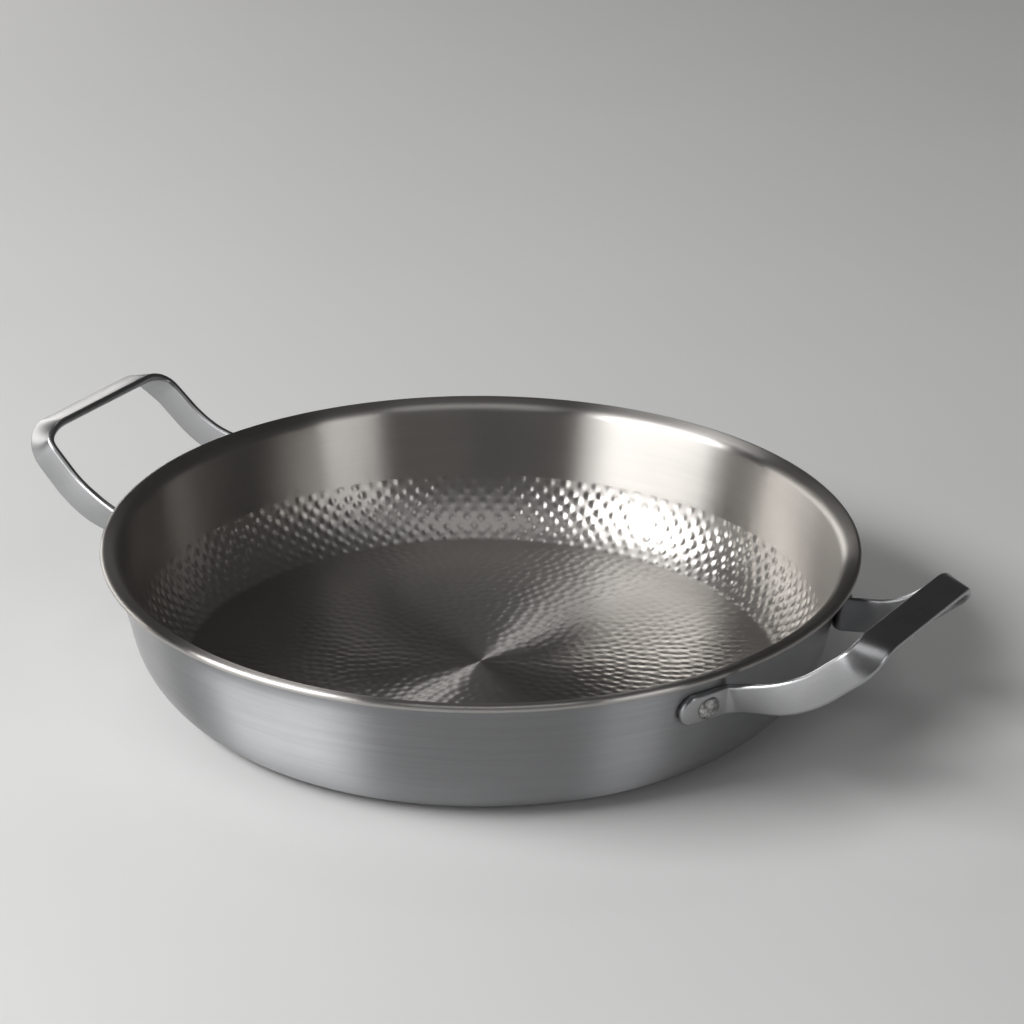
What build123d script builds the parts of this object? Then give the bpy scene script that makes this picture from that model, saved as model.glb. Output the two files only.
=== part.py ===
from build123d import *
import math
import os

# A round, shallow saute pan with two loop handles. Millimetres, +Z up. The origin is the middle
# of the base, on the surface that the pan stands on. The handles lie along +X and -X.

# Clad sheet, from the cooking side to the outside
titanium_thickness = 0.5
core_thickness = 1.7
steel_thickness = 0.5

# Bowl: the height is from the table, the bends are those of the cooking surface and under the lip
rim_radius = 142.0
pan_height = 54.0
floor_break_angle = 31.0
floor_break_bend = 3.3
bowl_bend = 33.7
wall_lean = 13.0
lip_bend = 2.0
lip_rise = 16.0
lip_run = 3.13

# Handle strap, and the tabs that it ends in, which lie flat on the outer wall
strap_width = 12.5
strap_thickness = 3.0
strap_edge_round = 0.6
tab_height = 39.7
tab_spacing = 102.0
tab_reach = 11.6
tab_heel = 7.4
tab_end_radius = 6.6
heel_bend = 2.7

# Handle loop from the side, as runs, bends and slopes of the strap's middle, then its outline
loop_lead = 12.0
loop_start_slope = 12.0
loop_rise_bend = 50.0
loop_rise_slope = 41.0
loop_rise = 13.3
loop_grip_bend = 13.2
loop_grip_slope = 75.5
loop_taper = 3.0
loop_corner_bend = 11.0

# Rivets: a shank welded to the outer steel, and a head peened over the tab
rivet_shank_diameter = 5.0
rivet_hole_clearance = 0.2
rivet_head_diameter = 9.4
rivet_head_height = 2.4
rivet_head_rim = 0.5

# How far blanks reach past the face that trims them, and the steps between the strap's sections
trim_margin = 0.3
tab_steps = 8
heel_steps = 3
leg_steps = 22
corner_steps = 10

sheet_thickness = titanium_thickness + core_thickness + steel_thickness


def direction(angle):
    """Unit vector at an angle in degrees from the local x axis."""
    return Vector(math.cos(math.radians(angle)), math.sin(math.radians(angle)))


# Ways along and out of the wall, and along and up from the lip
wall_way = direction(90 - wall_lean)
wall_out = direction(-wall_lean)
lip_way = direction(lip_rise)
lip_up = direction(90 + lip_rise)

# Steps of the bowl's section, from the table under the floor's edge to the middle of the rim's
# edge: the straight wall makes up the height, and the flat floor makes up the width
half_sheet = sheet_thickness / 2
to_break_centre = Vector(0, sheet_thickness + floor_break_bend)
to_bowl_centre = to_break_centre - direction(floor_break_angle - 90) * (bowl_bend - floor_break_bend)
to_wall = wall_out * (bowl_bend + half_sheet)
to_rim = (wall_out + lip_up) * (lip_bend + half_sheet) + lip_way * lip_run
wall_run = (pan_height - half_sheet - (to_bowl_centre + to_wall + to_rim).Y) / wall_way.Y
floor_radius = rim_radius - half_sheet - (to_bowl_centre + to_wall + wall_way * wall_run + to_rim).X

# Centres of the section's bends, which every surface of the sheet shares
floor_break_centre = Vector(floor_radius, 0) + to_break_centre
bowl_centre = Vector(floor_radius, 0) + to_bowl_centre
lip_centre = bowl_centre + to_wall + wall_way * wall_run + wall_out * (lip_bend + half_sheet)
rim_centre = Vector(rim_radius - half_sheet, pan_height - half_sheet)


def sheet_line(depth):
    """Draws the sheet's section at a depth below the cooking surface, from the axis to the rim."""
    floor_bend = floor_break_bend + depth
    wall_bend = bowl_bend + depth
    rim_bend = lip_bend + sheet_thickness - depth
    floor_end = floor_break_centre - Vector(0, floor_bend)
    Line((0, floor_end.Y), floor_end)
    CenterArc(floor_break_centre, floor_bend, -90, floor_break_angle)
    CenterArc(bowl_centre, wall_bend, floor_break_angle - 90, 90 - floor_break_angle - wall_lean)
    Line(bowl_centre + wall_out * wall_bend, lip_centre - wall_out * rim_bend)
    CenterArc(lip_centre, rim_bend, 180 - wall_lean, lip_rise + wall_lean - 90)
    Line(lip_centre + lip_up * rim_bend, rim_centre + lip_up * (half_sheet - depth))


def rim_edge(depth):
    """Draws the half round that closes the rim at a depth below the cooking surface."""
    CenterArc(rim_centre, half_sheet - depth, 90 + lip_rise, -180)


def rim_cut(thickness):
    """Draws the cut through the outermost thickness of the sheet, under the rim's edge."""
    Line(rim_centre - lip_up * (half_sheet - thickness), rim_centre - lip_up * half_sheet)


def axis_line(depth):
    """Closes the section along the pan's axis, from a depth down to the table."""
    Line((0, sheet_thickness - depth), (0, 0))


# Sections of the whole sheet, of all that lies under the titanium, and of the steel
with BuildSketch(Plane.XZ) as whole_section:
    with BuildLine():
        sheet_line(0)
        rim_edge(0)
        sheet_line(sheet_thickness)
        axis_line(0)
    make_face()

with BuildSketch(Plane.XZ) as under_titanium_section:
    with BuildLine():
        sheet_line(titanium_thickness)
        rim_edge(titanium_thickness)
        rim_cut(titanium_thickness)
        sheet_line(sheet_thickness)
        axis_line(titanium_thickness)
    make_face()

with BuildSketch(Plane.XZ) as steel_section:
    with BuildLine():
        sheet_line(titanium_thickness + core_thickness)
        rim_cut(steel_thickness)
        sheet_line(sheet_thickness)
        axis_line(titanium_thickness + core_thickness)
    make_face()

# Cooking layer: bare titanium, which also wraps round the rim and seals its edge
with BuildPart() as titanium_cooking_layer:
    with BuildSketch(Plane.XZ):
        add(whole_section.sketch)
        add(under_titanium_section.sketch, mode=Mode.SUBTRACT)
    revolve(axis=Axis.Z)

# Core: the aluminium that spreads the heat, shut in on all sides
with BuildPart() as aluminium_core:
    with BuildSketch(Plane.XZ):
        add(under_titanium_section.sketch)
        add(steel_section.sketch, mode=Mode.SUBTRACT)
    revolve(axis=Axis.Z)

# Outer shell: brushed steel from the base to the underside of the lip
with BuildPart() as steel_outer_shell:
    with BuildSketch(Plane.XZ):
        add(steel_section.sketch)
    revolve(axis=Axis.Z)


def wall_point(height, outside):
    """Section point at a distance outside the outer wall, across from the wall at a height."""
    foot = bowl_centre + wall_out * (bowl_bend + sheet_thickness)
    return foot + wall_way * ((height - foot.Y) / wall_way.Y) + wall_out * outside


def around(point, azimuth):
    """Turns a section point or way to its place in the pan, at an azimuth from the +X side."""
    turned = direction(azimuth) * point.X
    return Vector(turned.X, turned.Y, point.Y)


# What lies inside the outer wall, which trims what is seated or welded on it
with BuildPart() as inside_wall:
    with BuildSketch(Plane.XZ):
        with BuildLine():
            sheet_line(sheet_thickness)
            Polyline(rim_centre - lip_up * half_sheet, (0, rim_centre.Y), (0, 0))
        make_face()
    revolve(axis=Axis.Z)

# Middle line of a tab, and the azimuths of its rivet, its end, and the heel where its bend starts
tab_middle = wall_point(tab_height, strap_thickness / 2)
rivet_azimuth = math.degrees(math.asin(tab_spacing / 2 / tab_middle.X))
end_azimuth = rivet_azimuth + math.degrees(tab_reach / tab_middle.X)
blank_azimuth = end_azimuth + math.degrees(trim_margin / tab_middle.X)
heel_azimuth = rivet_azimuth - math.degrees(tab_heel / tab_middle.X)

# From the heel the strap turns outward, away from the wall, until it points along its leg
heel = around(tab_middle, heel_azimuth)
heel_way = around(Vector(1, 0), heel_azimuth - 90)
leg_way = around(direction(loop_start_slope), 0) * direction(loop_taper).X - Vector(0, direction(loop_taper).Y)
leg_side = around(direction(90 + loop_start_slope), 0)
heel_turn = heel_way.get_angle(leg_way)
heel_inward = (leg_way - heel_way * heel_way.dot(leg_way)).normalized()


def section_plane(place, way, side):
    """Plane across the strap at a place, facing along its way, with its width along its side."""
    return Plane(origin=place, x_dir=side.cross(way), z_dir=way)


def tab_plane(share):
    """Plane across the strap at a share of the way from the end of its blank to the heel."""
    azimuth = blank_azimuth + (heel_azimuth - blank_azimuth) * share
    way = around(Vector(1, 0), azimuth - 90)
    return section_plane(around(tab_middle, azimuth), way, around(wall_way, azimuth))


def heel_plane(share):
    """Plane across the strap at a share of its bend from the tab to the leg, which also turns
    its width from the lean of the wall to the slope of the leg."""
    turned = direction(heel_turn * share)
    way = heel_way * turned.X + heel_inward * turned.Y
    bend = heel_bend + strap_thickness / 2
    place = heel + (heel_way * turned.Y + heel_inward * (1 - turned.X)) * bend
    eased = share * share * (3 - 2 * share)
    return section_plane(place, way, around(wall_way, heel_azimuth) * (1 - eased) + leg_side * eased)


# The loop from the side: the line of the strap's middle, from the heel's bend up to the grip
leg_root = heel_plane(1).origin
with BuildLine(Plane.XZ) as side_view:
    lead = PolarLine((leg_root.X, leg_root.Z), loop_lead, loop_start_slope)
    rise_bend = JernArc(lead @ 1, lead % 1, loop_rise_bend, loop_rise_slope - loop_start_slope)
    rise = PolarLine(rise_bend @ 1, loop_rise, loop_rise_slope)
    JernArc(rise @ 1, rise % 1, loop_grip_bend, loop_grip_slope - loop_rise_slope)
side_wire = side_view.wire()

# Half of the loop laid out flat, with x along the side view and y from the middle of the grip
corner_bend = loop_corner_bend + strap_thickness / 2
leg_run = side_wire.length - corner_bend * (1 - direction(loop_taper).Y)
with BuildLine() as flat_view:
    leg = PolarLine((0, leg_root.Y), leg_run, -loop_taper, length_mode=LengthMode.HORIZONTAL)
    corner = JernArc(leg @ 1, leg % 1, corner_bend, loop_taper - 90)


def loop_plane(line, share):
    """Plane across the strap at a share of the way along a line of its flat layout."""
    flat = line @ share
    flat_way = line % share
    foot = side_wire.position_at(flat.X, PositionMode.LENGTH)
    climb = side_wire.tangent_at(flat.X, PositionMode.LENGTH)
    way = climb * flat_way.X + Vector(0, flat_way.Y)
    return section_plane(foot + Vector(0, flat.Y), way, Vector(-climb.Z, 0, climb.X))


# Sections of half a strap, from its blank end to the grip. On the tab they sink into the wall,
# which then cuts the seat, and round the heel they come out of it
sections = [(tab_plane(step / tab_steps), trim_margin) for step in range(tab_steps)]
sections += [(heel_plane(step / heel_steps), trim_margin * (1 - step / heel_steps)) for step in range(heel_steps)]
sections += [(loop_plane(leg, step / leg_steps), 0) for step in range(leg_steps)]
sections += [(loop_plane(corner, step / corner_steps), 0) for step in range(corner_steps + 1)]


def wall_frame(azimuth):
    """Plane on the middle of a tab at an azimuth, facing straight out of the wall."""
    return Plane(
        origin=around(tab_middle, azimuth),
        x_dir=around(Vector(1, 0), azimuth + 90),
        z_dir=around(wall_out, azimuth),
    )


rivet_frame = wall_frame(rivet_azimuth)
tab_end_frame = wall_frame(end_azimuth - math.degrees(tab_end_radius / tab_middle.X))

# Right handle: half a strap, from the rounded end of its tab to the middle of the grip, mirrored
with BuildPart() as right_handle:
    for plane, sink in sections:
        with BuildSketch(plane):
            with Locations((-sink / 2, 0)):
                RectangleRounded(strap_thickness + sink, strap_width, strap_edge_round)
    loft()
    with BuildSketch(loop_plane(corner, 1)):
        RectangleRounded(strap_thickness, strap_width, strap_edge_round)
    extrude(amount=(corner @ 1).Y)
    add(inside_wall.part, mode=Mode.SUBTRACT)
    with BuildSketch(tab_end_frame):
        with Locations((tab_end_radius, 0)):
            Rectangle(2 * tab_end_radius, 3 * tab_end_radius)
        Circle(tab_end_radius, mode=Mode.SUBTRACT)
    extrude(amount=strap_width, both=True, mode=Mode.SUBTRACT)
    with BuildSketch(rivet_frame):
        Circle((rivet_shank_diameter + rivet_hole_clearance) / 2)
    extrude(amount=strap_width, both=True, mode=Mode.SUBTRACT)
    mirror(about=Plane.XZ)

# Rear rivet of the right handle: a domed head trimmed by the tab, and a shank by the wall
rivet_axis = Axis(rivet_frame.origin, rivet_frame.z_dir)
rivet_section = Plane(origin=rivet_frame.origin, x_dir=rivet_frame.z_dir, z_dir=rivet_frame.x_dir)
tab_face = strap_thickness / 2
with BuildPart() as right_rear_rivet:
    with BuildSketch(rivet_section):
        with BuildLine():
            head_base = Line((tab_face - trim_margin, 0), (tab_face - trim_margin, rivet_head_diameter / 2))
            head_side = Line(head_base @ 1, (tab_face + rivet_head_rim, rivet_head_diameter / 2))
            head_top = TangentArc((tab_face + rivet_head_height, 0), head_side @ 1, tangent=(0, 1))
            Line(head_top @ 0, head_base @ 0)
        make_face()
    revolve(axis=rivet_axis)
    add(right_handle.part, mode=Mode.SUBTRACT)
    with BuildSketch(rivet_section):
        with Locations((-tab_face - trim_margin, 0)):
            Rectangle(
                strap_thickness + trim_margin + rivet_head_rim,
                rivet_shank_diameter / 2,
                align=(Align.MIN, Align.MIN),
            )
    revolve(axis=rivet_axis)
    add(inside_wall.part, mode=Mode.SUBTRACT)

with BuildPart() as right_front_rivet:
    mirror(right_rear_rivet.part, about=Plane.XZ)

# Left handle and its rivets, across the pan from the right ones
with BuildPart() as left_handle:
    mirror(right_handle.part, about=Plane.YZ)

with BuildPart() as left_rear_rivet:
    mirror(right_rear_rivet.part, about=Plane.YZ)

with BuildPart() as left_front_rivet:
    mirror(right_front_rivet.part, about=Plane.YZ)

titanium_cooking_layer.part.label = "titanium_cooking_layer"
aluminium_core.part.label = "aluminium_core"
steel_outer_shell.part.label = "steel_outer_shell"
right_handle.part.label = "right_handle"
left_handle.part.label = "left_handle"
right_front_rivet.part.label = "right_front_rivet"
right_rear_rivet.part.label = "right_rear_rivet"
left_front_rivet.part.label = "left_front_rivet"
left_rear_rivet.part.label = "left_rear_rivet"

os.makedirs("parts", exist_ok=True)
export_step(titanium_cooking_layer.part, "parts/titanium_cooking_layer.step")
export_step(aluminium_core.part, "parts/aluminium_core.step")
export_step(steel_outer_shell.part, "parts/steel_outer_shell.step")
export_step(right_handle.part, "parts/right_handle.step")
export_step(left_handle.part, "parts/left_handle.step")
export_step(right_front_rivet.part, "parts/right_front_rivet.step")
export_step(right_rear_rivet.part, "parts/right_rear_rivet.step")
export_step(left_front_rivet.part, "parts/left_front_rivet.step")
export_step(left_rear_rivet.part, "parts/left_rear_rivet.step")
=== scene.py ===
"""Dresses the hammered saute pan: its cooking surface, shell, handles, rivets, finishes and stage."""

import math
import random

import bmesh
import bpy
from bpy.props import FloatProperty, FloatVectorProperty, IntProperty, PointerProperty
from mathutils import Matrix, Vector, noise
from mathutils.kdtree import KDTree


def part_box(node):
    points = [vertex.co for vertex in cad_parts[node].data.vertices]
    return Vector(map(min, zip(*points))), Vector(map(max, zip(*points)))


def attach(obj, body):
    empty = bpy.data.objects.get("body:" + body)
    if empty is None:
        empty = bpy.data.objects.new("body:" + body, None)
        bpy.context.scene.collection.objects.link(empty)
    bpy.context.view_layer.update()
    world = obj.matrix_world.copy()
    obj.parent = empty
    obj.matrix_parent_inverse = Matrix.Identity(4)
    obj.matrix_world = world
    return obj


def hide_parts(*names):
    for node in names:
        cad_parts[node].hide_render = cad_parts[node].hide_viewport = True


bl_info = {
    "name": "Hammered saute pan",
    "version": (1, 0, 0),
    "blender": (4, 5, 0),
    "location": "3D View > Sidebar > Saute pan",
    "description": "Dresses the frame of a hammered saute pan with two loop handles",
    "category": "Mesh",
}

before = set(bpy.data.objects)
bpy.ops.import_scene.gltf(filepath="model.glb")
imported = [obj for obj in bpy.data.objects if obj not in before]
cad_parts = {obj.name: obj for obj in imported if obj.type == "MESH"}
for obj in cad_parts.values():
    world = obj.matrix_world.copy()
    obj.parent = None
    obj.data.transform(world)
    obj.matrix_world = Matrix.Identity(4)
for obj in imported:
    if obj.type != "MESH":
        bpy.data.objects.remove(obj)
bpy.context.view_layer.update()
layer_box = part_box("titanium_cooking_layer")

# The cooking layer's thickness, with which its box gives the height of the floor
LAYER = 0.0005

# Cells across the floor, and steps round the axis, close enough for the dimples to be round
FLOOR_CELLS = 310
WALL_STEPS = 1500
RIM_STEPS = 1200
SHELL_STEPS = 720

# Steps along the sheet's section: its floor edge bend, bowl bend, wall, lip bend, lip and rim
COOKING_SIDE = (3, 48, 5, 7, 1, 7)
UNDER_SIDE = (2, 6, 5, 3, 1, 3)
SHELL_OUTSIDE = (4, 48, 2, 8, 1, 1)
SHELL_INSIDE = (3, 24, 2, 5, 1, 1)
DIMPLED_SIDE = (20, 300, 100, 1, 1, 1)
BARE_SECTION = (1, 1, 1, 1, 1, 1)

# Steps along half a strap, and the places of the sections on its grip
TAB_END_STEPS = 12
TAB_STEPS = 7
HEEL_STEPS = 12
LEG_STEPS = 44
CORNER_STEPS = 16
GRIP_SHARES = (0.66, 0.33, 0)

# The straps' own map, on which their brushing lies
STRAP_MAP = "Strap"

# Points that lie this close together are one point, along a section and where a spin closes
SAME_PLACE = 0.00001
SAME_SEAM = 0.000001

# Size of the plane from which a section is drawn
SEED_PLANE = 0.001

# How deep the dimples are struck, from the least to the most, as shares of the full depth
FLOOR_BLOWS = (0.7, 1.15)
WALL_BLOWS = (0.75, 1.2)
TOP_ROW_BLOWS = (0.35, 0.95)

# The blows are lighter at the middle of the floor, and grow to full ones over a run
MIDDLE_BLOW = 0.35
MIDDLE_RADIUS = 0.004
MIDDLE_RUN = 0.022

# The first row lies this many rows up the wall, and all dimples run out towards the floor's edge
FIRST_ROW = 0.55
EDGE_RUN = 0.001

# A face of the wall is on the cooking side if it looks in and up by more than this
FACING_IN = 0.5

# How the rivets were peened, as shares of their heads' radius and height. The blows are counted
# across a radius, and the fullness and the shoulder are the powers of the dome's outline
EDGE_REACH = 0.97
EDGE_SPREAD = 0.05
EDGE_BLOWS = 1.6
DOME_REACH = 0.86
DOME_FULLNESS = 2.6
DOME_SHOULDER = 0.62
DOME_LUMPS = 0.17
DOME_BLOWS = 2.4
DOME_PITS = 0.09
PIT_BLOWS = 5.5
DENT_DEPTH = 0.1
DENT_RADIUS = 0.25
LEAST_HEIGHT = 0.02

# Where in the noise the heads are read, one beside the other, and each one's lumps and pits
FIRST_HEAD = Vector((0, 7.7, 1.3))
NEXT_HEAD = Vector((3.1, 0, 0))
LUMPS = Vector((0, 0, 0.2))
PITS = Vector((0, 0, 0.7))

# The view is the photograph's: the handles' line lies 32.5 degrees off the picture's width
VIEW_TURN = 32.5
CAMERA_DISTANCE = 1.4879
CAMERA_ELEVATION = 26.0
CAMERA_PITCH = 23.73
CAMERA_YAW = 0.49
CAMERA_ROLL = 0.43
CAMERA_LENS = 137.8
SENSOR_WIDTH = 36.0
CLIP_NEAR = 0.05
CLIP_FAR = 30

# The soft lights face the pan. Each has its azimuth, elevation and distance as seen in the view, its
# width and height, its radiance and its tint
PAN_MIDDLE = Vector((0, 0, 0.03))
WHITE = (1.0, 1.0, 1.0)
WARM_WHITE = (1.0, 0.98, 0.95)
SOFTBOXES = {
    "window": (200, 40, 1.6, 1.2, 0.5, 12.5, WHITE),
    "window_foot": (212, 14, 1.6, 1.4, 0.55, 2.5, WHITE),
    "low_back": (133, 12, 1.6, 1.8, 0.42, 2.8, WARM_WHITE),
    "high_back": (110, 50, 1.6, 0.2, 0.2, 5.0, WHITE),
    "front": (-44, 20, 1.6, 0.55, 0.9, 1.9, WHITE),
    "overhead": (-85, 70, 1.9, 1.2, 0.9, 1.1, WHITE),
}
ROOM_STRENGTH = 0.05
STAGE_SIZE = 12


# Settings


def length(name, description, default):
    """A size of the pan, in metres."""
    return FloatProperty(name=name, description=description, default=default, unit="LENGTH", precision=5)


def angle(name, description, default):
    """An angle of the pan, given in degrees."""
    return FloatProperty(name=name, description=description, default=math.radians(default), unit="ROTATION")


def colour(name, description, default):
    """The colour of a finish."""
    return FloatVectorProperty(
        name=name, description=description, default=default, subtype="COLOR", min=0, max=1
    )


class BowlSizes(bpy.types.PropertyGroup):
    """Sizes of the clad sheet and of the bowl that it is drawn into"""

    height: length("Height", "From the table to the top of the rim", layer_box[1].z)
    sheet: length("Sheet", "Thickness of the clad sheet", layer_box[0].z + LAYER)
    titanium: length("Titanium", "Thickness of the cooking layer", LAYER)
    steel: length("Steel", "Thickness of the outer shell", 0.0005)
    floor_radius: length("Floor radius", "Radius of the flat floor", 0.111)
    break_bend: length("Floor edge bend", "Radius of the small bend round the floor", 0.0033)
    break_angle: angle("Floor edge angle", "How far the small bend turns", 31)
    bowl_bend: length("Bowl bend", "Radius of the large bend up to the wall", 0.0337)
    wall_lean: angle("Wall lean", "How far the wall leans outward", 13)
    lip_bend: length("Lip bend", "Radius of the bend under the lip", 0.002)
    lip_rise: angle("Lip rise", "How far the lip rises outward", 16)
    lip_run: length("Lip run", "Straight run of the lip", 0.00313)


class HammeringSizes(bpy.types.PropertyGroup):
    """Sizes of the hammered dimples"""

    ring_spacing: length("Floor rings", "Distance between the rings of dimples on the floor", 0.00411)
    row_spacing: length("Wall rows", "Distance between the rows of dimples on the wall", 0.00315)
    per_row: IntProperty(name="Dimples a row", description="Number of dimples in a wall row", default=128)
    rows: IntProperty(name="Rows", description="Number of rows of dimples on the wall", default=9)
    width: length("Dimple radius", "Radius at which a dimple runs out", 0.0023)
    wall_depth: length("Wall depth", "Depth of the dimples on the wall", 0.00028)
    floor_depth: length("Floor depth", "Depth of the dimples on the floor", 0.00018)
    unevenness: length("Unevenness", "How far a dimple may lie off its place", 0.00055)


class HandleSizes(bpy.types.PropertyGroup):
    """Sizes of the two bent strap handles"""

    width: length("Strap width", "Width of the strap", 0.0125)
    thickness: length("Strap thickness", "Thickness of the strap", 0.003)
    edge_round: length("Edge rounding", "Radius of the strap's rounded edges", 0.0012)
    tab_height: length("Tab height", "Height of the middle of the tabs", 0.0397)
    tab_spacing: length("Tab spacing", "Distance between a handle's two rivets", 0.102)
    tab_reach: length("Tab reach", "From a rivet to the end of its tab", 0.0116)
    tab_heel: length("Tab heel", "From a rivet to the bend of the strap", 0.0074)
    tab_end: length("Tab end", "Radius of the rounded end of a tab", 0.0066)
    heel_bend: length("Heel bend", "Inner radius of the bend from the tab to the leg", 0.0027)
    lead: length("Lead", "Straight run of the leg next to the pan", 0.012)
    lead_slope: angle("Lead slope", "How steeply the leg leaves the pan", 12)
    rise_bend: length("Rise bend", "Radius of the bend up the leg", 0.05)
    rise_slope: angle("Rise slope", "How steeply the leg rises after its bend", 41)
    rise: length("Rise", "Straight run of the rising leg", 0.0133)
    grip_bend: length("Grip bend", "Radius of the bend into the grip", 0.0132)
    grip_slope: angle("Grip slope", "How steeply the grip stands", 75.5)
    taper: angle("Taper", "How far each leg leans towards the other", 3)
    corner_bend: length("Corner bend", "Inner radius of the grip's corners", 0.011)
    rivet_radius: length("Rivet head radius", "Radius of the peened heads", 0.0047)
    rivet_height: length("Rivet head height", "How far the peened heads stand out of the tabs", 0.0024)


class Finishes(bpy.types.PropertyGroup):
    """Colours of the metals and of the stage"""

    titanium: colour("Titanium", "Bare brushed titanium", (0.47, 0.452, 0.432))
    shell: colour("Shell", "Brushed steel of the outer shell", (0.385, 0.388, 0.398))
    strap: colour("Strap", "Satin steel of the handles", (0.41, 0.412, 0.42))
    rivet: colour("Rivet", "Peened steel of the rivets", (0.38, 0.375, 0.37))
    core: colour("Core", "Rolled aluminium of the core", (0.62, 0.63, 0.64))
    stage: colour("Stage", "The plain floor", (0.70, 0.70, 0.695))


# Helpers for the pieces


def deselect():
    """Leaves edit mode and deselects everything."""
    if bpy.context.object and bpy.context.object.mode != "OBJECT":
        bpy.ops.object.mode_set(mode="OBJECT")
    bpy.ops.object.select_all(action="DESELECT")


def select_only(piece):
    """Selects one piece alone and makes it the active one."""
    deselect()
    piece.select_set(True)
    bpy.context.view_layer.objects.active = piece


def name_piece(name):
    """Names the piece that has just been added, and its mesh."""
    piece = bpy.context.object
    piece.name = piece.data.name = name
    return piece


def turn_faces_out():
    """Turns the faces of the mesh that is being edited outwards, and leaves edit mode."""
    bpy.ops.mesh.select_all(action="SELECT")
    bpy.ops.mesh.normals_make_consistent(inside=False)
    bpy.ops.object.mode_set(mode="OBJECT")


def apply_modifier(piece, kind, **settings):
    """Adds a modifier to a piece, sets it and applies it."""
    modifier = piece.modifiers.new(kind.title(), kind)
    for setting, value in settings.items():
        setattr(modifier, setting, value)
    bpy.context.view_layer.objects.active = piece
    bpy.ops.object.modifier_apply(modifier=modifier.name)


def smooth_piece(piece, sharpest=math.radians(35)):
    """Shades a piece smooth, but for the edges that turn by more than an angle."""
    select_only(piece)
    bpy.ops.object.shade_smooth_by_angle(angle=sharpest)


def settle(piece, slot, material, *nodes):
    """Puts a piece's place in its mesh, gives it its finish, and lets it stand for CAD nodes."""
    select_only(piece)
    bpy.ops.object.transform_apply(location=True, rotation=True, scale=True)
    piece.data.materials.clear()
    piece.data.materials.append(material)
    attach(piece, "root")
    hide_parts(*nodes)


def within(share):
    """A share held between nothing and all."""
    return max(0, min(1, share))


def follow(place, heading, steps):
    """Points along a line of runs and bends. Each step is a run's length or a bend's radius, its
    turn, and the number of points that it adds."""
    points = [place.copy()]
    for size, turn, count in steps:
        start = points[-1]
        ahead = Vector((math.cos(heading), math.sin(heading)))
        for share in range(1, count + 1):
            if turn:
                side = math.copysign(size, turn)
                centre = start + Vector((-math.sin(heading), math.cos(heading))) * side
                now = heading + turn * share / count
                points.append(centre - Vector((-math.sin(now), math.cos(now))) * side)
            else:
                points.append(start + ahead * size * share / count)
        heading += turn
    return points


def around(point, azimuth):
    """Turns a section point or way to its place in the pan."""
    return Vector((math.cos(azimuth) * point.x, math.sin(azimuth) * point.x, point.y))


# Bowl


def wall_run(pan):
    """Length of the straight wall, which makes up the pan's height."""
    half = pan.sheet / 2
    lift = pan.sheet + pan.break_bend - math.cos(pan.break_angle) * (pan.break_bend - pan.bowl_bend)
    lift -= math.sin(pan.wall_lean) * (pan.bowl_bend + half)
    lift += (math.cos(pan.lip_rise) - math.sin(pan.wall_lean)) * (pan.lip_bend + half)
    lift += math.sin(pan.lip_rise) * pan.lip_run
    return (pan.height - half - lift) / math.cos(pan.wall_lean)


def section_points(pan, depth, counts):
    """Points of the sheet's section at a depth below the cooking surface, from the floor's edge
    round the rim's edge. The counts are the points on each of its bends and runs."""
    up = math.pi / 2
    steps = (
        (pan.break_bend + depth, pan.break_angle, counts[0]),
        (pan.bowl_bend + depth, up - pan.break_angle - pan.wall_lean, counts[1]),
        (wall_run(pan), 0, counts[2]),
        (pan.lip_bend + pan.sheet - depth, pan.lip_rise + pan.wall_lean - up, counts[3]),
        (pan.lip_run, 0, counts[4]),
        (pan.sheet / 2 - depth, -math.pi, counts[5]),
    )
    return follow(Vector((pan.floor_radius, pan.sheet - depth)), 0, steps)


def spin_section(name, points, steps):
    """Draws a section point by point from a small plane, and spins it round the axis. It is closed,
    unless it starts and ends on the axis."""
    deselect()
    bpy.ops.mesh.primitive_plane_add(size=SEED_PLANE, enter_editmode=True)
    bpy.ops.mesh.merge(type="CENTER")
    bpy.ops.transform.translate(value=(points[0].x, 0, points[0].y))
    closing = points[:1] if points[0].x else []
    for here, there in zip(points, points[1:] + closing):
        move = (there.x - here.x, 0, there.y - here.y)
        bpy.ops.mesh.extrude_vertices_move(TRANSFORM_OT_translate={"value": move})
    bpy.ops.mesh.select_all(action="SELECT")
    bpy.ops.mesh.remove_doubles(threshold=SAME_PLACE)
    bpy.ops.object.mode_set(mode="OBJECT")
    piece = name_piece(name)
    apply_modifier(
        piece,
        "SCREW",
        angle=2 * math.pi,
        steps=steps,
        render_steps=steps,
        use_merge_vertices=True,
        merge_threshold=SAME_SEAM,
    )
    bpy.ops.object.mode_set(mode="EDIT")
    turn_faces_out()
    return piece


def hammer(piece, dimples, width, depth, struck):
    """Sinks round dimples into the vertices, with lands between them. Each dimple is a place and its
    share of the depth, and a vertex's own share comes from where it lies."""
    tree = KDTree(len(dimples))
    for index, (place, share) in enumerate(dimples):
        tree.insert(place, index)
    tree.balance()
    vertices = piece.data.vertices
    normals = [vertex.normal.copy() for vertex in vertices]
    for vertex, normal in zip(vertices, normals):
        share = struck(vertex.co, normal)
        if share > 0:
            sunk = 0
            for place, index, distance in tree.find_range(vertex.co, width):
                sunk += dimples[index][1] * (1 + math.cos(math.pi * distance / width)) / 2
            vertex.co -= normal * depth * share * sunk
    piece.data.update()


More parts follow.
